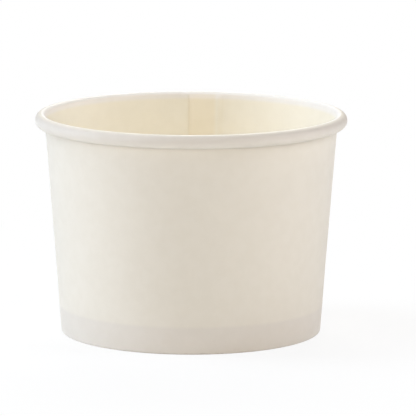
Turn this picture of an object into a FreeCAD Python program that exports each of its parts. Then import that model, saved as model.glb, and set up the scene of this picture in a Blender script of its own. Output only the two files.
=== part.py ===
import FreeCAD, Part
import math
import os

import Sketcher

# Paper ice cream cup, in millimetres and degrees.
# A tapered wall of coated board with a rolled rim, a lap seam and a folded foot,
# and a round of board with a turned-down skirt that makes the raised floor.
# The cup stands on z = 0 with its axis on z. The lap seam is on the +Y side.

# Driving sizes: name, value, meaning
SIZES = [
    ("rim_diameter", 75.0, "across the outside of the rolled rim"),
    ("foot_diameter", 62.5, "across the outside of the wall, carried down to z = 0"),
    ("cup_height", 53.0, "foot to the top of the rim"),
    ("wall_board", 0.35, "thickness of the wall's board"),
    ("disc_board", 0.30, "thickness of the floor's board"),
    ("seal_film", 0.02, "room between two layers, filled by the melted coating"),
    ("curl_height", 3.25, "top to bottom of the rolled rim"),
    ("curl_width", 2.6, "inside face of the wall to the outside of the rim"),
    ("curl_gap", 0.03, "room between the wall and the roll where it comes back"),
    ("curl_tuck", 150.0, "turn of the free edge inside the roll"),
    ("hem_height", 5.5, "foot to the free edge of the folded hem"),
    ("foot_flat", 0.4, "width of the pressed flat ring under the fold"),
    ("floor_height", 7.0, "foot to the top of the floor"),
    ("disc_bend", 0.3, "inside radius between the floor and its skirt"),
    ("skirt_room", 0.1, "skirt's lower edge to the inside of the fold"),
    ("seam_angle", 91.0, "where the inner end of the blank is cut off, from +X"),
    ("lap_angle", 10.4, "turn over which the ends of the blank lie on each other"),
    ("lap_room", 1.0, "turn between the outer end's cut and the step in the inner end"),
    ("step_angle", 3.0, "turn over which the inner end steps in under the outer end"),
    ("lap_step", 0.315, "how far the inner end steps in, less than a board as it is pressed"),
]

# Sizes worked out from the driving ones: name, unit, rule
WORKED_OUT = [
    ("skirt_gap", "Length", "Sizes.disc_board + 2 * Sizes.seal_film"),
    ("curl_radius", "Length", "Sizes.curl_height / 2"),
    ("corner_radius", "Length", "Sizes.curl_width - Sizes.curl_height / 2"),
    ("curl_centre", "Length", "Sizes.rim_diameter / 2 - Sizes.curl_height / 2"),
    (
        "wall_slope",
        "Angle",
        "acos((corner_radius / 1mm - Sizes.wall_board)"
        " / hypot(curl_centre / 1mm - Sizes.foot_diameter / 2;"
        " Sizes.cup_height - corner_radius / 1mm))"
        " - atan2(Sizes.cup_height - corner_radius / 1mm;"
        " curl_centre / 1mm - Sizes.foot_diameter / 2)",
    ),
    (
        "tuck_radius",
        "Length",
        "((curl_centre / 1mm - Sizes.foot_diameter / 2) * cos(wall_slope)"
        " - (Sizes.cup_height - Sizes.curl_height) * sin(wall_slope)"
        " - Sizes.curl_gap) / (1 + sin(wall_slope))",
    ),
    (
        "foot_radius",
        "Length",
        "(2 * Sizes.wall_board + skirt_gap / 1mm"
        " - Sizes.foot_flat * cos(wall_slope)) / 2",
    ),
    ("seam_foot", "Length", "Sizes.floor_height + Sizes.seal_film"),
    ("step_end", "Angle", "Sizes.seam_angle - Sizes.lap_angle - Sizes.lap_room"),
    ("step_start", "Angle", "step_end - Sizes.step_angle * 1deg"),
]

# How a sketch numbers the ends of an edge, and its own two axes
START, END, CENTRE = range(1, 4)
AXIS_X, AXIS_Z = -1, -2

FULL_TURN = "360"

document = FreeCAD.newDocument("paper_cup")


def make_sizes():
    """The sheet of driving sizes, and the sizes worked out from them."""
    sheet = document.addObject("Spreadsheet::Sheet", "Sizes")
    for row, (name, value, meaning) in enumerate(SIZES, start=1):
        sheet.set(f"A{row}", meaning)
        sheet.set(f"B{row}", str(value))
        sheet.setAlias(f"B{row}", name)
    document.recompute()
    worked = document.addObject("App::VarSet", "Worked")
    for name, unit, rule in WORKED_OUT:
        worked.addProperty(f"App::Property{unit}", name)
        worked.setExpression(name, rule)
    document.recompute()
    return sheet, worked


sizes, worked_out = make_sizes()


def worked_value(name):
    """One worked-out size as a plain number."""
    return getattr(worked_out, name).Value


def make_body(name):
    """An empty body that stands in the cup's own frame."""
    body = document.addObject("PartDesign::Body", name)
    body.Label = name
    body.Placement = FreeCAD.Placement()
    return body


def upright_sketch(body, name, turn="0"):
    """A sketch in the half plane through the axis, turned from +X about +Z."""
    sketch = body.newObject("Sketcher::SketchObject", name)
    plane = next(item for item in body.Origin.OriginFeatures if item.Role == "XZ_Plane")
    sketch.AttachmentSupport = [(plane, "")]
    sketch.MapMode = "FlatFace"
    sketch.AttachmentOffset = FreeCAD.Placement(
        FreeCAD.Vector(0, 0, 0), FreeCAD.Rotation(FreeCAD.Vector(0, 1, 0), 1.0)
    )
    sketch.setExpression("AttachmentOffset.Rotation.Angle", turn)
    return sketch


def line(sketch, first, last):
    """A straight edge between two (radius, height) points."""
    return sketch.addGeometry(
        Part.LineSegment(FreeCAD.Vector(*first, 0), FreeCAD.Vector(*last, 0))
    )


def arc(sketch, centre, radius, first, last):
    """A round edge, anticlockwise between two angles in degrees."""
    circle = Part.Circle(FreeCAD.Vector(*centre, 0), FreeCAD.Vector(0, 0, 1), radius)
    return sketch.addGeometry(
        Part.ArcOfCircle(circle, math.radians(first), math.radians(last))
    )


def join(sketch, kind, *ends):
    """Tie ends of edges: 'Tangent' where they run on smoothly, or 'Coincident'."""
    for first, first_end, second, second_end in ends:
        sketch.addConstraint(
            Sketcher.Constraint(kind, first, first_end, second, second_end)
        )


def bind(sketch, name, rule, kind, *what):
    """A named size of a sketch that follows a rule."""
    number = sketch.addConstraint(Sketcher.Constraint(kind, *what))
    sketch.renameConstraint(number, name)
    sketch.setExpression(f"Constraints.{name}", rule)


def revolve(body, name, sketch, angle, reverse=False):
    """Turn a section about the cup's axis."""
    feature = body.newObject("PartDesign::Revolution", name)
    feature.Profile = sketch
    feature.ReferenceAxis = (sketch, ["V_Axis"])
    feature.Reversed = reverse
    feature.setExpression("Angle", angle)
    document.recompute()
    return feature


# Directions of the sloping wall in its upright section
slope = math.radians(worked_value("wall_slope"))
UP_WALL = (math.sin(slope), math.cos(slope))
INTO_CUP = (-math.cos(slope), math.sin(slope))
SLOPE_DEGREES = math.degrees(slope)


def wall_point(depth, height):
    """The point at a depth inward from the wall's outer face and a height above the foot."""
    along = (height - depth * INTO_CUP[1]) / UP_WALL[1]
    radius = sizes.foot_diameter / 2 + depth * INTO_CUP[0] + along * UP_WALL[0]
    return (radius, height)


def off_point(point, distance):
    """A point moved square to the wall, inward where the distance is positive."""
    return (point[0] + distance * INTO_CUP[0], point[1] + distance * INTO_CUP[1])


def draw_foot(body):
    """The wall's foot: straight up to the floor, and folded inward and up as a hem."""
    sketch = upright_sketch(body, "foot_section")
    board = sizes.wall_board
    gap = worked_value("skirt_gap")
    foot_round = worked_value("foot_radius")
    fold_round = gap / 2
    hem_depth = 2 * board + gap
    seam_foot = worked_value("seam_foot")

    outer_round = wall_point(foot_round, foot_round)
    inner_round = wall_point(hem_depth - foot_round, foot_round)
    fold = wall_point(board + fold_round, board + fold_round)
    hem_top = wall_point(board + gap, sizes.hem_height)

    wall_out = line(sketch, off_point(outer_round, -foot_round), wall_point(0, seam_foot))
    top = line(sketch, wall_point(0, seam_foot), wall_point(board, seam_foot))
    wall_in = line(sketch, wall_point(board, seam_foot), off_point(fold, -fold_round))
    fold_in = arc(sketch, fold, fold_round, 180 - SLOPE_DEGREES, 360 - SLOPE_DEGREES)
    hem_out = line(sketch, off_point(fold, fold_round), hem_top)
    hem_edge = line(sketch, hem_top, off_point(hem_top, board))
    hem_in = line(sketch, off_point(hem_top, board), off_point(inner_round, foot_round))
    foot_in = arc(sketch, inner_round, foot_round, 180 - SLOPE_DEGREES, 270)
    flat = line(sketch, (inner_round[0], 0), (outer_round[0], 0))
    foot_out = arc(sketch, outer_round, foot_round, 270, 360 - SLOPE_DEGREES)
    corner = sketch.addGeometry(
        Part.Point(FreeCAD.Vector(sizes.foot_diameter / 2, 0, 0)), True
    )

    join(
        sketch,
        "Tangent",
        (foot_out, END, wall_out, START),
        (wall_in, END, fold_in, END),
        (fold_in, START, hem_out, START),
        (hem_in, END, foot_in, START),
        (foot_in, END, flat, START),
        (flat, END, foot_out, START),
    )
    join(
        sketch,
        "Coincident",
        (wall_out, END, top, START),
        (top, END, wall_in, START),
        (hem_out, END, hem_edge, START),
        (hem_edge, END, hem_in, START),
    )
    sketch.addConstraint(Sketcher.Constraint("Parallel", wall_out, wall_in))
    sketch.addConstraint(Sketcher.Constraint("Parallel", wall_out, hem_out))
    sketch.addConstraint(Sketcher.Constraint("Parallel", wall_out, hem_in))
    sketch.addConstraint(Sketcher.Constraint("Perpendicular", hem_out, hem_edge))
    sketch.addConstraint(Sketcher.Constraint("Horizontal", top))
    sketch.addConstraint(Sketcher.Constraint("Horizontal", flat))
    sketch.addConstraint(Sketcher.Constraint("PointOnObject", flat, START, AXIS_X))
    sketch.addConstraint(Sketcher.Constraint("PointOnObject", corner, START, AXIS_X))
    sketch.addConstraint(Sketcher.Constraint("PointOnObject", corner, START, wall_out))
    sketch.addConstraint(Sketcher.Constraint("Equal", foot_in, foot_out))

    bind(sketch, "corner", "Sizes.foot_diameter / 2", "DistanceX", AXIS_X, START, corner, START,
         sizes.foot_diameter / 2)
    bind(sketch, "slope", "90deg - Worked.wall_slope", "Angle", wall_out,
         math.pi / 2 - slope)
    bind(sketch, "board", "Sizes.wall_board", "Distance", wall_in, START, wall_out, board)
    bind(sketch, "fold", "Worked.skirt_gap / 2", "Radius", fold_in, fold_round)
    bind(sketch, "fold_height", "Sizes.wall_board + Worked.skirt_gap / 2 / 1mm", "DistanceY",
         AXIS_X, START, fold_in, CENTRE, board + fold_round)
    bind(sketch, "hem_board", "Sizes.wall_board", "Distance", hem_edge, board)
    bind(sketch, "hem_height", "Sizes.hem_height", "DistanceY", AXIS_X, START, hem_out, END,
         sizes.hem_height)
    bind(sketch, "foot_round", "Worked.foot_radius", "Radius", foot_out, foot_round)
    bind(sketch, "seam_foot", "Worked.seam_foot", "DistanceY", AXIS_X, START, top, START,
         seam_foot)
    return sketch


def draw_upper_wall(body, name, turn, inset=0, inset_rule="0"):
    """The wall above the floor and its rolled rim, moved inward by an inset."""
    sketch = upright_sketch(body, name, turn)
    board = sizes.wall_board
    centre_x = worked_value("curl_centre") - inset
    roll = worked_value("curl_radius")
    corner = worked_value("corner_radius")
    tuck = worked_value("tuck_radius")
    seam_foot = worked_value("seam_foot")
    tuck_end = 270 - sizes.curl_tuck

    roll_centre = (centre_x, sizes.cup_height - roll)
    corner_centre = (centre_x, sizes.cup_height - corner)
    tuck_centre = (centre_x, sizes.cup_height - sizes.curl_height + tuck)

    def on_tuck(radius):
        angle = math.radians(tuck_end)
        return (
            tuck_centre[0] + radius * math.cos(angle),
            tuck_centre[1] + radius * math.sin(angle),
        )

    foot_out = (wall_point(0, seam_foot)[0] - inset, seam_foot)
    foot_in = (wall_point(board, seam_foot)[0] - inset, seam_foot)
    wall_angle = 180 - SLOPE_DEGREES

    wall_out = line(sketch, foot_out, off_point(corner_centre, corner - board))
    corner_out = arc(sketch, corner_centre, corner - board, 90, wall_angle)
    roll_out = arc(sketch, roll_centre, roll - board, -90, 90)
    tuck_out = arc(sketch, tuck_centre, tuck - board, tuck_end, 270)
    edge = line(sketch, on_tuck(tuck - board), on_tuck(tuck))
    tuck_in = arc(sketch, tuck_centre, tuck, tuck_end, 270)
    roll_in = arc(sketch, roll_centre, roll, -90, 90)
    corner_in = arc(sketch, corner_centre, corner, 90, wall_angle)
    wall_in = line(sketch, off_point(corner_centre, corner), foot_in)
    foot = line(sketch, foot_in, foot_out)

    join(
        sketch,
        "Tangent",
        (wall_out, END, corner_out, END),
        (corner_out, START, roll_out, END),
        (roll_out, START, tuck_out, END),
        (tuck_in, END, roll_in, START),
        (roll_in, END, corner_in, START),
        (corner_in, END, wall_in, START),
    )
    join(
        sketch,
        "Coincident",
        (tuck_out, START, edge, START),
        (edge, END, tuck_in, START),
        (wall_in, END, foot, START),
        (foot, END, wall_out, START),
        (corner_out, CENTRE, corner_in, CENTRE),
        (roll_out, CENTRE, roll_in, CENTRE),
        (tuck_out, CENTRE, tuck_in, CENTRE),
    )
    join(
        sketch,
        "Vertical",
        (roll_in, CENTRE, corner_in, CENTRE),
        (roll_in, CENTRE, tuck_in, CENTRE),
    )
    sketch.addConstraint(Sketcher.Constraint("Parallel", wall_out, wall_in))
    sketch.addConstraint(Sketcher.Constraint("Horizontal", foot))
    sketch.addConstraint(Sketcher.Constraint("PointOnObject", tuck_in, CENTRE, edge))

    bind(sketch, "slope", "90deg - Worked.wall_slope", "Angle", wall_out,
         math.pi / 2 - slope)
    bind(sketch, "roll", "Worked.curl_radius", "Radius", roll_in, roll)
    bind(sketch, "roll_hollow", "Worked.curl_radius - Sizes.wall_board * 1mm", "Radius",
         roll_out, roll - board)
    bind(sketch, "corner", "Worked.corner_radius", "Radius", corner_in, corner)
    bind(sketch, "tuck", "Worked.tuck_radius", "Radius", tuck_in, tuck)
    bind(sketch, "roll_x", f"Worked.curl_centre / 1mm - {inset_rule}", "DistanceX", AXIS_X,
         START, roll_in, CENTRE, centre_x)
    bind(sketch, "roll_z", "Sizes.cup_height - Sizes.curl_height / 2", "DistanceY", AXIS_X,
         START, roll_in, CENTRE, roll_centre[1])
    bind(sketch, "tuck_turn", "180deg - Sizes.curl_tuck * 1deg", "Angle", edge,
         math.radians(180 - sizes.curl_tuck))
    bind(sketch, "seam_foot", "Worked.seam_foot", "DistanceY", AXIS_X, START, foot, START,
         seam_foot)
    return sketch


def make_side_wall():
    """The wrapped blank: foot and hem all round, and above the floor a true lap."""
    body = make_body("side_wall")
    revolve(body, "foot_and_hem", draw_foot(body), FULL_TURN)
    outer = draw_upper_wall(body, "outer_section", "Worked.step_start")
    inner = draw_upper_wall(
        body, "inner_section", "Worked.step_end", sizes.lap_step, "Sizes.lap_step"
    )
    revolve(
        body,
        "outer_end",
        outer,
        f"{FULL_TURN} - Sizes.step_angle - Sizes.lap_room",
        reverse=True,
    )
    step = body.newObject("PartDesign::AdditiveLoft", "step")
    step.Profile = outer
    step.Sections = [inner]
    step.Ruled = True
    document.recompute()
    revolve(body, "inner_end", inner, "Sizes.lap_angle + Sizes.lap_room")
    return body


def draw_disc(body):
    """The floor and its skirt, which runs down between the wall and the hem."""
    sketch = upright_sketch(body, "disc_section")
    board = sizes.disc_board
    bend_in = sizes.disc_bend
    bend_out = bend_in + board
    face = sizes.wall_board + sizes.seal_film
    floor = sizes.floor_height
    skirt_foot = sizes.wall_board + worked_value("skirt_gap") / 2 + sizes.skirt_room

    bend = wall_point(face + bend_out, floor - bend_out)
    outer_foot = wall_point(face, skirt_foot)
    inner_foot = off_point(outer_foot, board)

    top = line(sketch, (0, floor), (bend[0], floor))
    round_out = arc(sketch, bend, bend_out, -SLOPE_DEGREES, 90)
    skirt_out = line(sketch, off_point(bend, -bend_out), outer_foot)
    foot = line(sketch, outer_foot, inner_foot)
    skirt_in = line(sketch, inner_foot, off_point(bend, -bend_in))
    round_in = arc(sketch, bend, bend_in, -SLOPE_DEGREES, 90)
    underside = line(sketch, (bend[0], floor - board), (0, floor - board))
    axis = line(sketch, (0, floor - board), (0, floor))
    corner = sketch.addGeometry(
        Part.Point(FreeCAD.Vector(sizes.foot_diameter / 2, 0, 0)), True
    )

    join(
        sketch,
        "Tangent",
        (top, END, round_out, END),
        (round_out, START, skirt_out, START),
        (skirt_in, END, round_in, START),
        (round_in, END, underside, START),
    )
    join(
        sketch,
        "Coincident",
        (skirt_out, END, foot, START),
        (foot, END, skirt_in, START),
        (underside, END, axis, START),
        (axis, END, top, START),
        (round_out, CENTRE, round_in, CENTRE),
    )
    sketch.addConstraint(Sketcher.Constraint("Horizontal", top))
    sketch.addConstraint(Sketcher.Constraint("Horizontal", underside))
    sketch.addConstraint(Sketcher.Constraint("PointOnObject", top, START, AXIS_Z))
    sketch.addConstraint(Sketcher.Constraint("PointOnObject", underside, END, AXIS_Z))
    sketch.addConstraint(Sketcher.Constraint("Parallel", skirt_out, skirt_in))
    sketch.addConstraint(Sketcher.Constraint("Perpendicular", skirt_out, foot))
    sketch.addConstraint(Sketcher.Constraint("PointOnObject", corner, START, AXIS_X))

    bind(sketch, "corner", "Sizes.foot_diameter / 2", "DistanceX", AXIS_X, START, corner, START,
         sizes.foot_diameter / 2)
    bind(sketch, "floor_height", "Sizes.floor_height", "DistanceY", AXIS_X, START, top, START,
         floor)
    bind(sketch, "bend_in", "Sizes.disc_bend", "Radius", round_in, bend_in)
    bind(sketch, "bend_out", "Sizes.disc_bend + Sizes.disc_board", "Radius", round_out,
         bend_out)
    bind(sketch, "slope", "90deg - Worked.wall_slope", "Angle", skirt_in,
         math.pi / 2 - slope)
    bind(sketch, "face", "Sizes.wall_board + Sizes.seal_film", "Distance", corner, START,
         skirt_out, face)
    bind(sketch, "skirt_foot",
         "Sizes.wall_board + Worked.skirt_gap / 2 / 1mm + Sizes.skirt_room",
         "DistanceY", AXIS_X, START, foot, START, skirt_foot)
    return sketch


def make_base_disc():
    """The floor of the cup."""
    body = make_body("base_disc")
    revolve(body, "floor_and_skirt", draw_disc(body), FULL_TURN)
    return body


def write_parts(bodies):
    """Check every object and write each body to a file named after it."""
    document.recompute()
    for item in document.Objects:
        if "Invalid" in item.State or "Error" in item.State:
            raise RuntimeError(f"{item.Name} did not build: {item.State}")
    for body in bodies:
        if body.Shape.isNull() or not body.Shape.isValid():
            raise RuntimeError(f"{body.Label} has no valid shape")
        if len(body.Shape.Solids) != 1:
            raise RuntimeError(f"{body.Label} is not one solid")
    for body in bodies:
        body.Shape.exportStep(f"parts/{body.Label}.step")
        print(body.Label, round(body.Shape.Volume, 2), body.Shape.BoundBox)


os.makedirs("parts", exist_ok=True)
write_parts([make_side_wall(), make_base_disc()])
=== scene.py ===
import math

import bmesh
import bpy
from mathutils import Matrix, Vector


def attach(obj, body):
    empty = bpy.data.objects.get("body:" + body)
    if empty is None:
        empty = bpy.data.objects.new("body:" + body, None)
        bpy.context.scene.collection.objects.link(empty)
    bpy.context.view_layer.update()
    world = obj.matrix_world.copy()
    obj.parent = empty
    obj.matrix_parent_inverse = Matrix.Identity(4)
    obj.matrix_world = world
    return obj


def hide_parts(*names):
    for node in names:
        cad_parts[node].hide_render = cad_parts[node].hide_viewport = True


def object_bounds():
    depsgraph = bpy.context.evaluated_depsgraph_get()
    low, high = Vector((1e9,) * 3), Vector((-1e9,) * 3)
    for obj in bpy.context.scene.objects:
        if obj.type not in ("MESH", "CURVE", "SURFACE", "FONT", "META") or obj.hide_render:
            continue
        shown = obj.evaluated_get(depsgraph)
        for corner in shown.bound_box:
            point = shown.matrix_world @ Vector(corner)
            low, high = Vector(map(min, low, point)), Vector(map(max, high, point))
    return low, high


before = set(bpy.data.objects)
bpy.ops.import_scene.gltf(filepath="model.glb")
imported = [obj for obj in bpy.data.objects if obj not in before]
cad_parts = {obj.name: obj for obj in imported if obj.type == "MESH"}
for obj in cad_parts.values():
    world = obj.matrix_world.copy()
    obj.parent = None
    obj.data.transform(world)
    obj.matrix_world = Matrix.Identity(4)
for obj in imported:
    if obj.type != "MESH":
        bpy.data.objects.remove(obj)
solid_low, solid_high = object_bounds()

# Paper ice cream cup, in metres and radians.
# The wall is one board blank. Its section runs from the hem's free edge, round the fold
# under the foot, up the wall and round the rolled rim to the edge hidden in the roll.
# The board's inner side is the one that faces the ice cream. Side 0 is that side, and
# side 1 is the other, all along the section.
# The blank's two ends lie on each other in a lap seam on the +Y side.

MM = 0.001

# Sizes of the board and its folds
RIM_RADIUS = (solid_high[0] - solid_low[0]) / 2
CUP_HEIGHT = solid_high[2]
FOOT_RADIUS = 31.25 * MM
WALL_BOARD = 0.35 * MM
DISC_BOARD = 0.30 * MM
SEAL_FILM = 0.02 * MM
SKIRT_GAP = DISC_BOARD + 2 * SEAL_FILM
CURL_HEIGHT = 3.25 * MM
CURL_WIDTH = 2.6 * MM
CURL_GAP = 0.03 * MM
CURL_TUCK = math.radians(150)
HEM_HEIGHT = 5.5 * MM
FLOOR_HEIGHT = 7.0 * MM
DISC_BEND = 0.3 * MM
SKIRT_ROOM = 0.1 * MM

# The lap seam: where the blank's inner end is cut off, how wide the lap is, and how far
# that end steps in on the free wall, at the foot, in the pressed hem and in the roll
SEAM_ANGLE = math.radians(91.0)
LAP_TURN = math.radians(10.4)
LAP_ROOM = math.radians(1.0)
STEP_TURN = math.radians(3.0)
LAP_STEP = 0.36 * MM
FOOT_STEP = 0.20 * MM
PRESSED_STEP = 0.012 * MM
ROLLED_STEP = 0.08 * MM

# The rolled rim and the wall's slope, from the sizes above
ROLL_RADIUS = CURL_HEIGHT / 2
CORNER_RADIUS = CURL_WIDTH - ROLL_RADIUS
CURL_CENTRE = RIM_RADIUS - ROLL_RADIUS
WALL_RISE = CUP_HEIGHT - CORNER_RADIUS
WALL_REACH = CURL_CENTRE - FOOT_RADIUS
WALL_SLOPE = math.acos(
    (CORNER_RADIUS - WALL_BOARD) / math.hypot(WALL_REACH, WALL_RISE)
) - math.atan2(WALL_RISE, WALL_REACH)
UP_WALL = Vector((math.sin(WALL_SLOPE), math.cos(WALL_SLOPE)))
INTO_CUP = Vector((-math.cos(WALL_SLOPE), math.sin(WALL_SLOPE)))
TUCK_RADIUS = (
    WALL_REACH * math.cos(WALL_SLOPE)
    - (CUP_HEIGHT - CURL_HEIGHT) * math.sin(WALL_SLOPE)
    - CURL_GAP
) / (1 + math.sin(WALL_SLOPE))

# The blank's cut ends are pressed thinner over a short turn
EDGE_TURN = math.radians(0.25)
EDGE_ROUND = 0.07 * MM

# Heights over which the lap's step grows from the foot to the free wall
STEP_FROM = FLOOR_HEIGHT - 1 * MM
STEP_TO = FLOOR_HEIGHT + 2 * MM

# Heights over which the lap is pressed flat again on its way into the roll
ROLL_FROM = CUP_HEIGHT - 2.1 * MM
ROLL_TO = CUP_HEIGHT - 0.1 * MM

# Ribs pressed into the hem, which keep clear of its fold and of its free edge
KNURL_DEPTH = 0.06 * MM
KNURL_COUNT = 120
KNURL_FROM = 0.6 * MM
KNURL_TO = 1.2 * MM
KNURL_END_FROM = 0.3 * MM
KNURL_END_TO = 0.9 * MM

# Slow waves in the wall, which the rim and the floor hold nearly round
WAVE_DEPTH = 0.10 * MM
WAVE_SEED = 3.0
WAVE_SCALE = 1.3
WAVES_PER_METRE = 20.0
WAVE_RIM = 12 * MM
HELD_ROUND = 0.8

# The skirt moves in behind the lap over this last part of the floor's radius
PUSH_FROM = FOOT_RADIUS - 3 * MM
PUSH_TO = FOOT_RADIUS - 1 * MM

# How finely the meshes are divided
WALL_COLUMNS = 480
DISC_COLUMNS = 240
STEP_COLUMNS = 8
FLOOR_PIECES, BEND_PIECES, SKIRT_PIECES = 16, 8, 6
SAME_POINT = 0.001 * MM
SHARP_EDGE = math.radians(40)

# The photo's view
PHOTO_WIDTH = 416
CAMERA_DISTANCE = 1.1
CAMERA_ELEVATION = math.radians(9.64)
CAMERA_ROLL = math.radians(0.149)
CAMERA_TARGET = Vector((4.07, 0, 29.77)) * MM
CAMERA_RANGE = 20
PIXELS_PER_METRE = 4152
SENSOR = 36.0

# Colours of the coated board: outside; inside, whose cream is partly the inner coat and partly
# painted warm light bounced inside the cup; and on the rim's inner corner, painted whiter where less
# of that bounced light reaches
OUTSIDE = (0.800, 0.745, 0.645, 1)
INSIDE_COAT_AND_BOUNCE = (0.935, 0.880, 0.750, 1)
RIM_CORNER_LIGHT = (0.935, 0.895, 0.840, 1)

# Painted shade where board lies behind board and less light comes through it, a little yellower in
# the lap, and a tint where the board is a little thinner
BACKED_SHADE_TINT = (0.945, 0.940, 0.965, 1)
LAP_SHADE_TINT = (0.990, 0.960, 0.905, 1)
THIN = (0.982, 0.980, 0.974, 1)
WHITE = (1, 1, 1, 1)

# Heights between which the painted shade band at the foot ends, where the skirt behind the wall lets
# less light through
BAND_FROM = FLOOR_HEIGHT - 0.6 * MM
BAND_TO = FLOOR_HEIGHT + 0.2 * MM

# How much of the lap's painted shade shows on the outer side, and the painted shade on the roll's
# front:
# rows past the crest between which it begins and fades, and the share that fades
LAP_SHADE_OUTSIDE = 0.3
ROLL_SHADE_BEGIN = (1, 5)
ROLL_SHADE_FADE = (8, 14)
ROLL_SHADE_FADED_SHARE = 0.6

# The board's surface: sizes, sheen, and how clouds and fibres are drawn
CLOUD_SIZE = 3 * MM
FIBRE_SIZE = 0.3 * MM
FIBRE_DEPTH = 0.006 * MM
ROUGHNESS = 0.5
ROUGHNESS_SPREAD = 0.03
BOARD_IOR = 1.5
BOARD_SHEEN = 0.25
CLOUD_DETAIL = 3.0
CLOUD_ROUGHNESS = 0.55
CLOUD_SPAN = (0.3, 0.7)
FIBRE_DETAIL = 2.0
FIBRE_SPAN = (0.42, 0.78)
FIBRE_STRETCH = 0.22
FIBRE_TURNS = ((0.2, 0.1, 0.0), (0.0, 0.9, 1.1), (1.2, 0.4, 2.3))

# The studio floor: how pale it is, the share of plain white by the cup, how far out it
# is all white, and how far it reaches
FLOOR_SHADE = (0.92, 0.92, 0.92, 1)
WHITE_SHARE = 0.86
SHADOW_REACH = 5 * FOOT_RADIUS
FLOOR_REACH = 3.0

# The inside is painted cream, partly for warm light bounced inside the cup, up to a little below the
# rim, and the rim's inner corner is painted whiter, as less of that light reaches it.
# How far below the crest the cream turns whiter, the corner is whitest, and that ends
CREAM_DROP = 2.1 * MM
WHITE_DROP = 1.2 * MM
CREST_DROP = 0.15 * MM

# How many pieces each run of the wall's section has, and the rows where three runs end
HEM_PIECES, FOLD_PIECES, FOOT_PIECES, WALL_PIECES = 8, 10, 8, 12
TOP_PIECES, CORNER_PIECES, ROLL_PIECES, TUCK_PIECES = 4, 8, 18, 8
HEM_ROW = HEM_PIECES
FOLD_END_ROW = HEM_ROW + FOLD_PIECES
ROLL_ROW = FOLD_END_ROW + FOOT_PIECES + WALL_PIECES + TOP_PIECES + CORNER_PIECES

# Softboxes, all at one distance from the cup: name, azimuth and elevation in degrees,
# width, height, watts and colour. Azimuth 0 is the camera's side, and positive is right.
LAMP_DISTANCE = 1.0
LAMPS = [
    ("left_high", -97, 60, 0.4, 0.6, 3.3, (0.96, 1.0, 1.05)),
    ("left_softbox", -97, 34, 0.4, 0.6, 2.9, (0.88, 1.0, 1.18)),
    ("left_strip", -97, 10, 0.4, 0.25, 1.3, (0.82, 1.0, 1.26)),
    ("left_front", -60, 22, 0.4, 0.4, 1.6, (0.90, 1.0, 1.16)),
    ("right_softbox", 80, 35, 0.4, 0.6, 3.6, (0.97, 1.0, 1.07)),
    ("right_strip", 98, 10, 0.4, 0.25, 1.65, (1.03, 1.0, 1.05)),
    ("front_fill", 0, 20, 0.6, 0.4, 2.95, (1.11, 1.0, 0.86)),
    ("back_softbox", 180, 38, 0.6, 0.4, 4.8, (1.05, 1.0, 0.93)),
]

scene = bpy.context.scene


def wall_point(depth, height):
    """The (radius, height) point at a depth inward from the wall's outer side."""
    along = (height - depth * INTO_CUP[1]) / UP_WALL[1]
    return Vector((FOOT_RADIUS, 0)) + INTO_CUP * depth + UP_WALL * along


def straight(first, last, pieces, normal):
    """Stations on a straight run: place, and the way to the board's inner side."""
    return [(first.lerp(last, i / pieces), normal) for i in range(pieces + 1)]


def rounded(centre, radius, first, last, pieces, outward=1):
    """Stations on an arc, between two angles. The inner side is on the convex side,
    or on the hollow side where outward is -1."""
    stations = []
    for i in range(pieces + 1):
        angle = first + (last - first) * i / pieces
        way = Vector((math.cos(angle), math.sin(angle)))
        stations.append((centre + way * radius, way * outward))
    return stations


def joined(*runs):
    """One list of stations, with the doubled one at each join left out."""
    stations = list(runs[0])
    for run_on in runs[1:]:
        stations += run_on[1:]
    return stations


def wall_section():
    """Stations along the middle of the wall's board, from the hem to the rolled edge."""
    half = WALL_BOARD / 2
    fold_radius = SKIRT_GAP / 2 + half
    fold_centre = wall_point(WALL_BOARD + SKIRT_GAP / 2, WALL_BOARD + SKIRT_GAP / 2)
    hem_top = wall_point(WALL_BOARD * 1.5 + SKIRT_GAP, HEM_HEIGHT)
    corner_centre = Vector((CURL_CENTRE, CUP_HEIGHT - CORNER_RADIUS))
    roll_centre = Vector((CURL_CENTRE, CUP_HEIGHT - ROLL_RADIUS))
    tuck_centre = Vector((CURL_CENTRE, CUP_HEIGHT - CURL_HEIGHT + TUCK_RADIUS))
    wall_foot = fold_centre - INTO_CUP * fold_radius
    wall_top = corner_centre + INTO_CUP * (CORNER_RADIUS - half)
    floor_line = wall_point(half, FLOOR_HEIGHT)
    top_line = wall_point(half, CUP_HEIGHT - CREAM_DROP)
    quarter = math.pi / 2
    return joined(
        straight(hem_top, fold_centre + INTO_CUP * fold_radius, HEM_PIECES, -INTO_CUP),
        rounded(
            fold_centre,
            fold_radius,
            math.pi - WALL_SLOPE,
            2 * math.pi - WALL_SLOPE,
            FOLD_PIECES,
            outward=-1,
        ),
        straight(wall_foot, floor_line, FOOT_PIECES, INTO_CUP),
        straight(floor_line, top_line, WALL_PIECES, INTO_CUP),
        straight(top_line, wall_top, TOP_PIECES, INTO_CUP),
        rounded(
            corner_centre,
            CORNER_RADIUS - half,
            math.pi - WALL_SLOPE,
            quarter,
            CORNER_PIECES,
        ),
        rounded(roll_centre, ROLL_RADIUS - half, quarter, -quarter, ROLL_PIECES),
        rounded(tuck_centre, TUCK_RADIUS - half, -quarter, -quarter - CURL_TUCK, TUCK_PIECES),
    )


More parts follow.
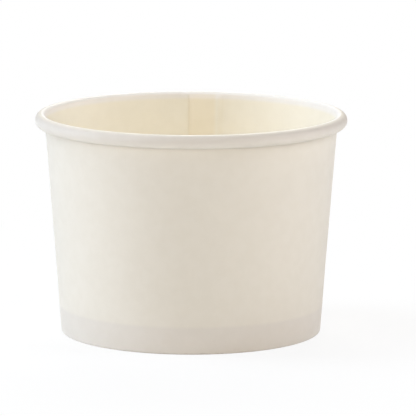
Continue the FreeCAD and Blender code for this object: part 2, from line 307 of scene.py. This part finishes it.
def disc_section():
    """Stations along the middle of the base's board, from the centre to the skirt's edge."""
    half = DISC_BOARD / 2
    face = WALL_BOARD + SEAL_FILM
    bend_radius = DISC_BEND + half
    drop = DISC_BEND + DISC_BOARD
    bend_centre = wall_point(face + drop, FLOOR_HEIGHT - drop)
    skirt_top = bend_centre - INTO_CUP * bend_radius
    skirt_foot = wall_point(
        face + half, WALL_BOARD + SKIRT_GAP / 2 + SKIRT_ROOM + half * INTO_CUP[1]
    )
    floor_height = FLOOR_HEIGHT - half
    quarter = math.pi / 2
    return joined(
        straight(
            Vector((0, floor_height)),
            Vector((bend_centre[0], floor_height)),
            FLOOR_PIECES,
            Vector((0, 1)),
        ),
        rounded(bend_centre, bend_radius, quarter, -WALL_SLOPE, BEND_PIECES),
        straight(skirt_top, skirt_foot, SKIRT_PIECES, -INTO_CUP),
    )


def flat_blank(name, stations, turns, thickness, closed, values):
    """A flat sheet of board with both its sides and its edges, ready to be wrapped.

    Each corner point keeps, as attributes, its turn about the cup's axis, its place in the
    upright section, the way to the inner side, and the given values of its station."""
    columns = len(turns)
    rows = len(stations)
    lengths = [0.0]
    for (here, _), (there, _) in zip(stations, stations[1:]):
        lengths.append(lengths[-1] + (there - here).length)

    points = []
    for turn in turns:
        for length in lengths:
            points.append((turn * RIM_RADIUS, length, thickness / 2))
            points.append((turn * RIM_RADIUS, length, -thickness / 2))

    def corner(column, row, side):
        """The number of a corner point. A closed sheet's last column is its first again."""
        return ((column % columns) * rows + row) * 2 + side

    faces = []
    last_column = columns if closed else columns - 1
    for column in range(last_column):
        after = column + 1
        for row in range(rows - 1):
            faces.append([corner(column, row, 0), corner(after, row, 0),
                          corner(after, row + 1, 0), corner(column, row + 1, 0)])
            faces.append([corner(column, row, 1), corner(column, row + 1, 1),
                          corner(after, row + 1, 1), corner(after, row, 1)])
        faces.append([corner(column, rows - 1, 0), corner(after, rows - 1, 0),
                      corner(after, rows - 1, 1), corner(column, rows - 1, 1)])
        if not closed:
            faces.append([corner(column, 0, 0), corner(column, 0, 1),
                          corner(after, 0, 1), corner(after, 0, 0)])
    if not closed:
        for column in (0, columns - 1):
            for row in range(rows - 1):
                faces.append([corner(column, row, 0), corner(column, row + 1, 0),
                              corner(column, row + 1, 1), corner(column, row, 1)])

    mesh = bpy.data.meshes.new(name)
    mesh.from_pydata(points, [], faces)
    one_column = [
        (stations[row][0] + stations[row][1] * reach, stations[row][1], row, side)
        for row in range(rows)
        for side, reach in ((0, thickness / 2), (1, -thickness / 2))
    ]
    kept = {
        "turn": ("FLOAT", "value", [turn for turn in turns for _ in one_column]),
        "place": (
            "FLOAT_VECTOR",
            "vector",
            [part for place, _, _, _ in one_column for part in (place[0], 0, place[1])] * columns,
        ),
        "way_in": (
            "FLOAT_VECTOR",
            "vector",
            [part for _, way, _, _ in one_column for part in (way[0], 0, way[1])] * columns,
        ),
    }
    for key, rule in values.items():
        kept[key] = ("FLOAT", "value", [rule(row, side) for _, _, row, side in one_column] * columns)
    for key, (kind, field, numbers) in kept.items():
        mesh.attributes.new(key, kind, "POINT").data.foreach_set(field, numbers)
    blank = bpy.data.objects.new(name, mesh)
    scene.collection.objects.link(blank)
    return blank


class Tree:
    """A short way to write node trees: each call adds a node and gives its output."""

    def __init__(self, tree):
        self.tree = tree
        self.nodes = tree.nodes

    def put(self, socket, value):
        """Link an output to the socket, or set the socket to a plain value."""
        if isinstance(value, bpy.types.NodeSocket):
            self.tree.links.new(value, socket)
        else:
            socket.default_value = value

    def node(self, kind, inputs=None, **settings):
        """Add a node, with its settings and its inputs by name or number."""
        made = self.nodes.new(kind)
        for name, value in settings.items():
            setattr(made, name, value)
        for key, value in (inputs or {}).items():
            self.put(made.inputs[key], value)
        return made

    def math(self, operation, first, second=0.0, third=0.0):
        """The result of one sum."""
        made = self.node("ShaderNodeMath", {0: first, 1: second, 2: third}, operation=operation)
        return made.outputs[0]

    def smooth(self, value, low, high, to_low=0.0, to_high=1.0):
        """A smooth change from to_low at low to to_high at high, and level beyond."""
        made = self.node(
            "ShaderNodeMapRange",
            {
                "Value": value,
                "From Min": low,
                "From Max": high,
                "To Min": to_low,
                "To Max": to_high,
            },
            interpolation_type="SMOOTHSTEP",
        )
        return made.outputs["Result"]


def group_input(tree, name, kind, value=None):
    """Add a named input, with its usual value, to a tree."""
    socket = tree.interface.new_socket(name, in_out="INPUT", socket_type=kind)
    if value is not None:
        socket.default_value = value
    return socket


def wrap_tree():
    """The tree that wraps a flat blank about the cup's axis.

    In the lap, the inner end is moved towards the inner side and the outer end towards
    the outer side, each by its own step, and what lies inside the lap is pushed in."""
    group = bpy.data.node_groups.new("wrap_blank", "GeometryNodeTree")
    group_input(group, "Geometry", "NodeSocketGeometry")
    group_input(group, "Start Angle", "NodeSocketFloat", 0.0)
    group_input(group, "Total Turn", "NodeSocketFloat", 2 * math.pi)
    group_input(group, "Lap Angle", "NodeSocketFloat", SEAM_ANGLE)
    group_input(group, "Lap Turn", "NodeSocketFloat", LAP_TURN + LAP_ROOM)
    group_input(group, "Step Turn", "NodeSocketFloat", STEP_TURN)
    group_input(group, "Edge Round", "NodeSocketFloat", 0.0)
    group_input(group, "Wave Depth", "NodeSocketFloat", 0.0)
    group_input(group, "Wave Seed", "NodeSocketFloat", 0.0)
    group_input(group, "Knurl Depth", "NodeSocketFloat", 0.0)
    group_input(group, "Knurl Count", "NodeSocketInt", KNURL_COUNT)
    group_input(group, "Board", "NodeSocketMaterial")
    group.interface.new_socket("Geometry", in_out="OUTPUT", socket_type="NodeSocketGeometry")
    t = Tree(group)
    given = t.node("NodeGroupInput").outputs

    def attribute(name, kind="FLOAT"):
        """A value that the blank keeps at each corner point."""
        made = t.node("GeometryNodeInputNamedAttribute", {"Name": name}, data_type=kind)
        return made.outputs["Attribute"]

    turn = attribute("turn")
    place = t.node("ShaderNodeSeparateXYZ", {0: attribute("place", "FLOAT_VECTOR")}).outputs
    way_in = t.node("ShaderNodeSeparateXYZ", {0: attribute("way_in", "FLOAT_VECTOR")}).outputs

    # 1 on the inner end under the lap, and 1 on the outer end over it
    lap_end = t.math("ADD", given["Lap Turn"], given["Step Turn"])
    inner_end = t.smooth(turn, given["Lap Turn"], lap_end, 1.0, 0.0)
    outer_to = t.math("SUBTRACT", given["Total Turn"], given["Lap Turn"])
    outer_from = t.math("SUBTRACT", outer_to, given["Step Turn"])
    outer_end = t.smooth(turn, outer_from, outer_to, 0.0, 1.0)
    shift_in = t.math("MULTIPLY", attribute("step_in"), inner_end)
    shift_out = t.math("MULTIPLY", attribute("step_out"), outer_end)

    # What lies inside the lap is pushed in, all across the lap
    angle = t.math("SUBTRACT", given["Start Angle"], turn)
    half_lap = t.math("MULTIPLY", given["Lap Turn"], 0.5)
    middle = t.math("SUBTRACT", given["Lap Angle"], half_lap)
    from_middle = t.math("ARCCOSINE", t.math("COSINE", t.math("SUBTRACT", angle, middle)))
    push_end = t.math("ADD", half_lap, given["Step Turn"])
    pushed = t.smooth(from_middle, half_lap, push_end, 1.0, 0.0)
    push = t.math("MULTIPLY", pushed, attribute("push"))

    # The blank's two cut ends are pressed a little thinner at their edges
    to_end = t.math("MINIMUM", turn, t.math("SUBTRACT", given["Total Turn"], turn))
    at_edge = t.smooth(to_end, 0.0, EDGE_TURN, 1.0, 0.0)
    thinned = t.math("MULTIPLY", at_edge, given["Edge Round"])
    thinned = t.math("MULTIPLY", thinned, attribute("face_side"))

    # Pressed ribs on the hem
    ribs = t.math("COSINE", t.math("MULTIPLY", angle, given["Knurl Count"]))
    rib = t.math("MULTIPLY_ADD", ribs, 0.5, 0.5)
    pressed = t.math("MULTIPLY", rib, attribute("knurl"))
    rib_depth = t.math("MULTIPLY", pressed, given["Knurl Depth"])

    shift = t.math("ADD", t.math("SUBTRACT", shift_in, shift_out), rib_depth)
    shift = t.math("SUBTRACT", shift, thinned)
    radius = t.math("MULTIPLY_ADD", way_in["X"], shift, place["X"])
    radius = t.math("SUBTRACT", radius, push)
    height = t.math("MULTIPLY_ADD", way_in["Z"], shift, place["Z"])

    # Slow waves, inward only, so that the cup keeps its outer size
    round_x = t.math("COSINE", angle)
    round_y = t.math("SINE", angle)
    where = t.node(
        "ShaderNodeCombineXYZ",
        {"X": round_x, "Y": round_y, "Z": t.math("MULTIPLY", height, WAVES_PER_METRE)},
    ).outputs[0]
    noise = t.node(
        "ShaderNodeTexNoise",
        {"Vector": where, "W": given["Wave Seed"], "Scale": WAVE_SCALE, "Detail": 1.0},
        noise_dimensions="4D",
    )
    wave = t.math("MULTIPLY", noise.outputs[0], given["Wave Depth"])
    radius = t.math("SUBTRACT", radius, t.math("MULTIPLY", wave, attribute("loose")))

    wrapped = t.node(
        "ShaderNodeCombineXYZ",
        {
            "X": t.math("MULTIPLY", radius, round_x),
            "Y": t.math("MULTIPLY", radius, round_y),
            "Z": height,
        },
    ).outputs[0]
    moved = t.node(
        "GeometryNodeSetPosition", {"Geometry": given["Geometry"], "Position": wrapped}
    ).outputs[0]

    # Where the board lies double, kept for the lap's painted shade
    edge = STEP_TURN / 2
    first_from = t.math("SUBTRACT", given["Lap Turn"], edge)
    doubled_first = t.smooth(turn, first_from, given["Lap Turn"], 1.0, 0.0)
    doubled_last = t.smooth(turn, outer_to, t.math("ADD", outer_to, edge), 0.0, 1.0)
    either = t.math("MAXIMUM", doubled_first, doubled_last)
    lap_shade_mask = t.math("MULTIPLY", either, attribute("lap_shade_share"))
    kept = t.node(
        "GeometryNodeStoreNamedAttribute",
        {"Geometry": moved, "Name": "lap_shade_mask", "Value": lap_shade_mask},
        data_type="FLOAT",
        domain="POINT",
    ).outputs[0]
    whole = t.node("GeometryNodeRealizeInstances", {"Geometry": kept}).outputs[0]
    painted = t.node(
        "GeometryNodeSetMaterial", {"Geometry": whole, "Material": given["Board"]}
    ).outputs[0]
    t.node("NodeGroupOutput", {"Geometry": painted})
    return group


def wrap(blank, tree, inputs):
    """Wrap a blank, make the result a plain mesh, and tidy it."""
    modifier = blank.modifiers.new("wrap", "NODES")
    modifier.node_group = tree
    sockets = {
        item.name: item.identifier
        for item in tree.interface.items_tree
        if item.in_out == "INPUT"
    }
    for name, value in inputs.items():
        modifier[sockets[name]] = value
    bpy.context.view_layer.update()
    evaluated = blank.evaluated_get(bpy.context.evaluated_depsgraph_get())
    mesh = bpy.data.meshes.new_from_object(evaluated)
    blank.modifiers.clear()
    flat = blank.data
    blank.data = mesh
    bpy.data.meshes.remove(flat)
    mesh.name = blank.name

    work = bmesh.new()
    work.from_mesh(mesh)
    bmesh.ops.remove_doubles(work, verts=work.verts, dist=SAME_POINT)
    bmesh.ops.recalc_face_normals(work, faces=work.faces)
    work.to_mesh(mesh)
    work.free()
    mesh.shade_smooth()
    mesh.set_sharp_from_angle(angle=SHARP_EDGE)
    return blank


def grain_group():
    """Paper grain: soft clouds of denser and thinner board, and fine crossing fibres."""
    group = bpy.data.node_groups.new("paper_grain", "ShaderNodeTree")
    group_input(group, "Cloud Size", "NodeSocketFloat", CLOUD_SIZE)
    group_input(group, "Fibre Size", "NodeSocketFloat", FIBRE_SIZE)
    for name in ("Clouds", "Fibres"):
        group.interface.new_socket(name, in_out="OUTPUT", socket_type="NodeSocketFloat")
    t = Tree(group)
    given = t.node("NodeGroupInput").outputs
    place = t.node("ShaderNodeTexCoord").outputs["Object"]
    clouds = t.node(
        "ShaderNodeTexNoise",
        {
            "Vector": place,
            "Scale": t.math("DIVIDE", 1.0, given["Cloud Size"]),
            "Detail": CLOUD_DETAIL,
            "Roughness": CLOUD_ROUGHNESS,
        },
    ).outputs[0]
    fine = t.math("DIVIDE", 1.0, given["Fibre Size"])

    # Layers of long fibres, each laid another way
    layers = []
    for turn in FIBRE_TURNS:
        laid = t.node(
            "ShaderNodeMapping",
            {"Vector": place, "Rotation": turn, "Scale": (1.0, 1.0, FIBRE_STRETCH)},
        ).outputs[0]
        layer = t.node(
            "ShaderNodeTexNoise",
            {"Vector": laid, "Scale": fine, "Detail": FIBRE_DETAIL},
        ).outputs[0]
        layers.append(layer)
    crossed = t.math("MAXIMUM", t.math("MAXIMUM", layers[0], layers[1]), layers[2])
    t.node(
        "NodeGroupOutput",
        {"Clouds": t.smooth(clouds, *CLOUD_SPAN), "Fibres": t.smooth(crossed, *FIBRE_SPAN)},
    )
    return group


def board_material(name, grain):
    """Coated paper board. Where more board lies behind it, less light comes through it,
    and this is painted into the colour as shade: greyer over the skirt, the hem and the roll's
    front, and yellower in the lap. The inside's cream is partly painted bounce light, and the
    rim's inner corner is painted whiter."""
    material = bpy.data.materials.new(name)
    material.use_nodes = True
    t = Tree(material.node_tree)
    t.nodes.clear()

    def mask(attribute):
        """A value from 0 to 1 that the board keeps at each corner point."""
        return t.node("ShaderNodeAttribute", attribute_name=attribute).outputs["Fac"]

    def mixed(share, first, second, blend="MIX"):
        """A share of the second colour over the first."""
        return t.node(
            "ShaderNodeMix", {0: share, 6: first, 7: second}, data_type="RGBA", blend_type=blend
        ).outputs[2]

    texture = t.node("ShaderNodeGroup")
    texture.node_tree = grain
    texture.inputs["Cloud Size"].default_value = CLOUD_SIZE
    texture.inputs["Fibre Size"].default_value = FIBRE_SIZE
    clouds = texture.outputs["Clouds"]
    # The inside's cream is partly painted bounce light, and the rim's inner corner is painted whiter
    colour = mixed(mask("within"), OUTSIDE, INSIDE_COAT_AND_BOUNCE)
    colour = mixed(mask("corner"), colour, RIM_CORNER_LIGHT)
    # Painted shade where board lies behind board, and in the lap
    for attribute, tint in (("backed_shade", BACKED_SHADE_TINT), ("lap_shade_mask", LAP_SHADE_TINT)):
        colour = mixed(mask(attribute), colour, mixed(1.0, colour, tint, "MULTIPLY"))
    thin = mixed(clouds, THIN, WHITE)
    colour = mixed(1.0, colour, thin, "MULTIPLY")
    bump = t.node(
        "ShaderNodeBump",
        {"Height": texture.outputs["Fibres"], "Strength": 1.0, "Distance": FIBRE_DEPTH},
    ).outputs[0]
    rough, smooth = ROUGHNESS + ROUGHNESS_SPREAD, ROUGHNESS - ROUGHNESS_SPREAD
    skin = t.node(
        "ShaderNodeBsdfPrincipled",
        {
            "Base Color": colour,
            "Roughness": t.smooth(clouds, 0.0, 1.0, rough, smooth),
            "IOR": BOARD_IOR,
            "Specular IOR Level": BOARD_SHEEN,
            "Normal": bump,
        },
    )
    t.node("ShaderNodeOutputMaterial", {"Surface": skin.outputs[0]})
    return material


def floor_material():
    """A pale floor. Seen by the camera it is white, and keeps the cup's shadow."""
    material = bpy.data.materials.new("pale_floor")
    material.use_nodes = True
    t = Tree(material.node_tree)
    t.nodes.clear()
    path = t.node("ShaderNodeLightPath").outputs
    mirrored = t.math("MAXIMUM", path["Is Glossy Ray"], path["Is Transmission Ray"])
    seen = t.math("MAXIMUM", path["Is Camera Ray"], mirrored)
    matt = t.node("ShaderNodeBsdfDiffuse", {"Color": FLOOR_SHADE}).outputs[0]
    white = t.node("ShaderNodeEmission", {"Color": WHITE, "Strength": 1.0}).outputs[0]
    place = t.node("ShaderNodeTexCoord").outputs["Object"]
    away = t.node("ShaderNodeVectorMath", {0: place}, operation="LENGTH").outputs["Value"]
    white_share = t.smooth(away, FOOT_RADIUS, SHADOW_REACH, WHITE_SHARE, 1.0)
    share = t.math("MULTIPLY", seen, white_share)
    mixed = t.node("ShaderNodeMixShader", {0: share, 1: matt, 2: white}).outputs[0]
    t.node("ShaderNodeOutputMaterial", {"Surface": mixed})
    return material


def between(value, low, high):
    """0 below low, 1 above high, and a smooth change between."""
    share = min(max((value - low) / (high - low), 0.0), 1.0)
    return share * share * (3 - 2 * share)


def make_wall(tree, material):
    """The wrapped blank with its lap seam, rolled rim and folded foot."""
    stations = wall_section()
    heights = [place[1] for place, _ in stations]
    fold_row = heights.index(min(heights))

    def over_corner(row):
        """0 on the wall, and 1 from the top of the rim's inner corner onward."""
        if row < FOLD_END_ROW:
            return 0.0
        if row >= ROLL_ROW:
            return 1.0
        return between(heights[row], ROLL_FROM, ROLL_TO)

    def step_in(row, side):
        """How far the inner end moves inward: a board's thickness on the free wall."""
        if row <= fold_row:
            return PRESSED_STEP
        if row < FOLD_END_ROW:
            round_fold = (row - fold_row) / (FOLD_END_ROW - fold_row)
            return PRESSED_STEP + (FOOT_STEP - PRESSED_STEP) * round_fold
        above_floor = between(heights[row], STEP_FROM, STEP_TO)
        on_wall = FOOT_STEP + (LAP_STEP - FOOT_STEP) * above_floor
        return on_wall * (1 - over_corner(row))

    def step_out(row, side):
        """How far the outer end moves to the hollow of the rolled rim."""
        if row <= fold_row:
            return 0.0
        return ROLLED_STEP * over_corner(row)

    def push(row, side):
        """The hem is pushed in where the lap lies outside it."""
        if row <= HEM_ROW:
            return FOOT_STEP
        if row >= FOLD_END_ROW:
            return 0.0
        return FOOT_STEP * between(FOLD_END_ROW - row, 0, FOLD_END_ROW - HEM_ROW)

    def knurl(row, side):
        """1 where the hem is ribbed."""
        if side == 0 or row > HEM_ROW:
            return 0.0
        above_fold = between(heights[row], KNURL_FROM, KNURL_TO)
        below_edge = between(HEM_HEIGHT - heights[row], KNURL_END_FROM, KNURL_END_TO)
        return above_fold * below_edge

    def loose(row, side):
        """The wall is free to wave between the floor and the rim, which hold it round."""
        if row < FOLD_END_ROW:
            return 0.0
        near_rim = between(heights[row], CUP_HEIGHT - WAVE_RIM, CUP_HEIGHT - CURL_HEIGHT)
        near_floor = 1 - between(heights[row], FLOOR_HEIGHT, 2 * FLOOR_HEIGHT)
        return 1 - HELD_ROUND * max(near_rim, near_floor)

    def lap_shade_share(row, side):
        """How far the lap's painted shade shows: less on the outer side and the rim."""
        return 1.0 if within(row, side) > 0.5 else LAP_SHADE_OUTSIDE

    def face_side(row, side):
        """Which way the side faces: 1 for the inner side."""
        return 1.0 if side == 0 else -1.0

    def within(row, side):
        """1 on the inside of the cup, up to the turn of the rim."""
        if side == 1 or row < FOLD_END_ROW or row >= ROLL_ROW:
            return 0.0
        return 1 - between(heights[row], CUP_HEIGHT - WHITE_DROP, CUP_HEIGHT - CREST_DROP)

    def corner(row, side):
        """1 on the rim's inner corner, which is painted whiter because less warm bounced light
        reaches it.
        """
        if side == 1 or row < FOLD_END_ROW or row > ROLL_ROW:
            return 0.0
        from_below = between(heights[row], CUP_HEIGHT - CREAM_DROP, CUP_HEIGHT - WHITE_DROP)
        return from_below * (1 - between(heights[row], CUP_HEIGHT - CREST_DROP, CUP_HEIGHT))

    def backed_shade(row, side):
        """1 where painted shade darkens the board, for light that a single board would let through:
        on the outer side over the skirt and the hem, and on the roll's front past the crest, fading
        towards its bottom.
        """
        if side == 0:
            past_crest = row - ROLL_ROW
            faded = ROLL_SHADE_FADED_SHARE * between(past_crest, *ROLL_SHADE_FADE)
            return between(past_crest, *ROLL_SHADE_BEGIN) * (1 - faded)
        if row < FOLD_END_ROW:
            return 1.0
        return 1 - between(heights[row], BAND_FROM, BAND_TO)

    lap = LAP_TURN + LAP_ROOM
    total = 2 * math.pi + LAP_TURN
    step = 2 * math.pi / WALL_COLUMNS
    turns = {round(i * step, 6) for i in range(int(total / step) + 1)}
    turns.add(total)
    for start in (lap, total - lap - STEP_TURN):
        for i in range(STEP_COLUMNS + 1):
            turns.add(round(start + STEP_TURN * i / STEP_COLUMNS, 6))
    blank = flat_blank(
        "wrapped_wall",
        stations,
        sorted(turns),
        WALL_BOARD,
        False,
        {
            "step_in": step_in,
            "step_out": step_out,
            "push": push,
            "knurl": knurl,
            "loose": loose,
            "lap_shade_share": lap_shade_share,
            "face_side": face_side,
            "within": within,
            "corner": corner,
            "backed_shade": backed_shade,
        },
    )
    return wrap(
        blank,
        tree,
        {
            "Start Angle": SEAM_ANGLE,
            "Total Turn": total,
            "Edge Round": EDGE_ROUND,
            "Wave Depth": WAVE_DEPTH,
            "Wave Seed": WAVE_SEED,
            "Knurl Depth": KNURL_DEPTH,
            "Knurl Count": KNURL_COUNT,
            "Board": material,
        },
    )


def make_disc(tree, material):
    """The floor with its turned-down skirt."""
    stations = disc_section()

    def nothing(row, side):
        """For what only the wall has."""
        return 0.0

    def within(row, side):
        """1 on the side that faces the ice cream."""
        return 1.0 - side

    def push(row, side):
        """The skirt is pushed in where the lap lies outside it."""
        place, _ = stations[row]
        return FOOT_STEP * between(place[0], PUSH_FROM, PUSH_TO)

    turns = [2 * math.pi * i / DISC_COLUMNS for i in range(DISC_COLUMNS)]
    blank = flat_blank(
        "pressed_floor",
        stations,
        turns,
        DISC_BOARD,
        True,
        {
            "step_in": nothing,
            "step_out": nothing,
            "push": push,
            "knurl": nothing,
            "loose": nothing,
            "lap_shade_share": nothing,
            "face_side": nothing,
            "within": within,
            "corner": nothing,
            "backed_shade": nothing,
        },
    )
    return wrap(blank, tree, {"Start Angle": 0.0, "Board": material})


def make_camera():
    """The camera at the photo's viewing angle."""
    data = bpy.data.cameras.new("camera")
    camera = bpy.data.objects.new("camera", data)
    scene.collection.objects.link(camera)
    back = Vector((0, -math.cos(CAMERA_ELEVATION), math.sin(CAMERA_ELEVATION)))
    place = Matrix.Translation(CAMERA_TARGET + back * CAMERA_DISTANCE)
    aim = back.to_track_quat("Z", "Y").to_matrix().to_4x4()
    camera.matrix_world = place @ aim @ Matrix.Rotation(CAMERA_ROLL, 4, "Z")
    data.sensor_width = SENSOR
    data.sensor_fit = "HORIZONTAL"
    data.lens = SENSOR * PIXELS_PER_METRE * CAMERA_DISTANCE / PHOTO_WIDTH
    data.clip_end = CAMERA_RANGE
    scene.camera = camera


def make_lamp(name, azimuth, elevation, width, height, watts, colour):
    """A softbox that faces the cup."""
    data = bpy.data.lights.new(name, "AREA")
    data.shape = "RECTANGLE"
    data.size = width
    data.size_y = height
    data.energy = watts
    data.color = colour
    lamp = bpy.data.objects.new(name, data)
    scene.collection.objects.link(lamp)
    around = math.radians(azimuth)
    up = math.radians(elevation)
    level = math.cos(up)
    way = Vector((math.sin(around) * level, -math.cos(around) * level, math.sin(up)))
    lamp.location = way * LAMP_DISTANCE + Vector((0, 0, CUP_HEIGHT / 2))
    lamp.rotation_euler = way.to_track_quat("Z", "Y").to_euler()


def make_world():
    """White where the camera sees past the floor, and no other light."""
    world = bpy.data.worlds.new("room")
    scene.world = world
    world.use_nodes = True
    t = Tree(world.node_tree)
    t.nodes.clear()
    path = t.node("ShaderNodeLightPath").outputs
    white = t.node("ShaderNodeBackground", {"Color": WHITE, "Strength": path["Is Camera Ray"]})
    t.node("ShaderNodeOutputWorld", {"Surface": white.outputs[0]})


def make_floor():
    """A plain square of floor under the cup."""
    mesh = bpy.data.meshes.new("floor")
    sides = ((-1, -1), (1, -1), (1, 1), (-1, 1))
    corners = [(x * FLOOR_REACH, y * FLOOR_REACH, 0) for x, y in sides]
    mesh.from_pydata(corners, [], [(0, 1, 2, 3)])
    floor = bpy.data.objects.new("floor", mesh)
    scene.collection.objects.link(floor)
    mesh.materials.append(floor_material())


scene.view_settings.view_transform = "Standard"
make_camera()
make_world()
for lamp in LAMPS:
    make_lamp(*lamp)
make_floor()

grain = grain_group()
wall_board = board_material("coated_wall_board", grain)
floor_board = board_material("coated_floor_board", grain)
tree = wrap_tree()
wall = make_wall(tree, wall_board)
disc = make_disc(tree, floor_board)
for piece, node, slot in ((wall, "side_wall", "wall_board"), (disc, "base_disc", "floor_board")):
    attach(piece, "root")
    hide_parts(node)
